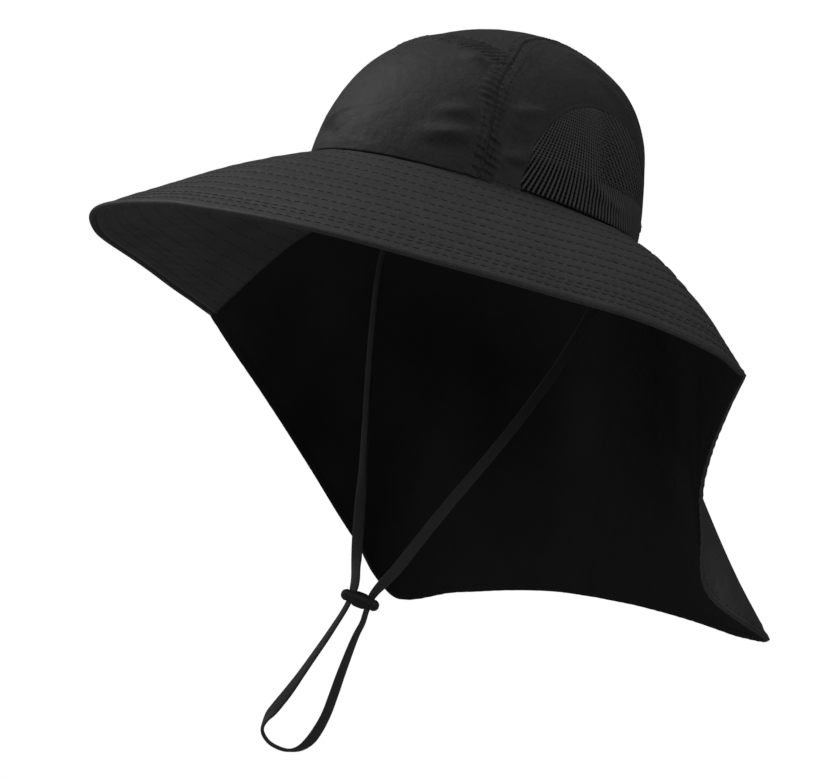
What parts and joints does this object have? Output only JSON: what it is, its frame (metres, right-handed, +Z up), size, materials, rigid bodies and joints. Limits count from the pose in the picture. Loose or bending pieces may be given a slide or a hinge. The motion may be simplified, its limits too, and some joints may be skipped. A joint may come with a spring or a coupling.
{
  "type": "wide brim sun hat",
  "caption": "Soft wide brim sun hat with a stitched brim, mesh side vents, a long neck flap, and a chin cord with a slider.",
  "frame": {"origin": "where the hat sits on a head: the middle of the ring where the crown and the brim are sewn together, level with the ring", "axes": "+Z up through the crown, the front of the brim faces -Y, the wearer's left is +X"},
  "size_m": [0.3926, 0.4069, 0.4145],
  "materials": {
    "crown_cloth": "soft sheen woven nylon",
    "brim_cloth": "quilted woven nylon",
    "flap_cloth": "thin woven nylon",
    "vent_mesh": "ribbed knit mesh",
    "cord": "flat woven cord",
    "slider_plastic": "matte moulded"
  },
  "bodies": {
    "root": {"crown_front": "crown_cloth", "crown_top": "crown_cloth", "crown_side_left": "crown_cloth", "crown_side_right": "crown_cloth", "vent_mesh_left": "vent_mesh", "vent_mesh_right": "vent_mesh", "brim": "brim_cloth", "brim_edge": "brim_cloth", "neck_flap": "flap_cloth", "chin_cord": "cord", "cord_toggle": "slider_plastic"}
  },
  "joints": []
}
